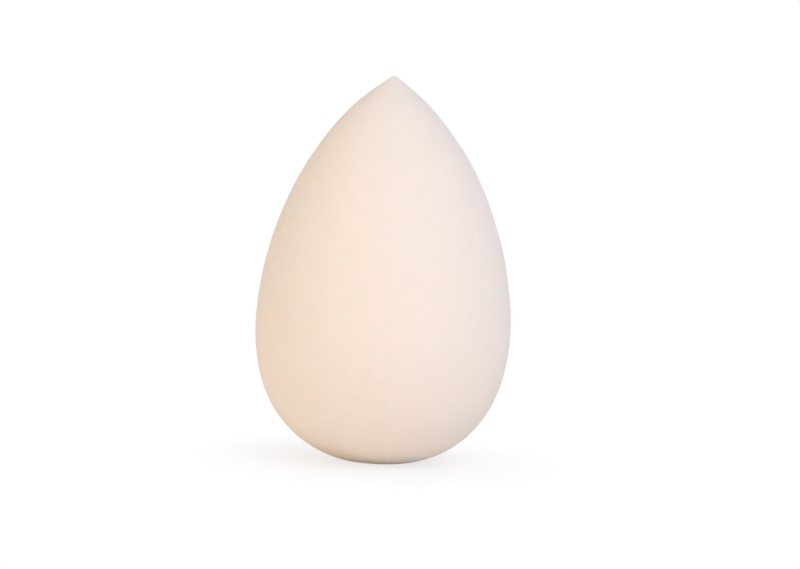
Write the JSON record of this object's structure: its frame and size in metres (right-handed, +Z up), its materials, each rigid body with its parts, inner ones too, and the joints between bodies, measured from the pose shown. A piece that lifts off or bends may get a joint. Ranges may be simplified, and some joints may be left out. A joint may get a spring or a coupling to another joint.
{
  "type": "makeup sponge",
  "caption": "Teardrop makeup sponge of soft open-cell foam, with a blunt tip for fine work, a full round belly for blending and a small flat foot to stand on.",
  "frame": {"origin": "centre of the flat foot that the sponge stands on", "axes": "+Z up along the teardrop's axis, from the foot to the tip; the sponge is round about it, so +X and +Y are alike"},
  "size_m": [0.0398, 0.0398, 0.06],
  "materials": {
    "foam": "matte, very finely open-celled soft foam"
  },
  "bodies": {
    "root": {"sponge_body": "foam"}
  },
  "joints": []
}
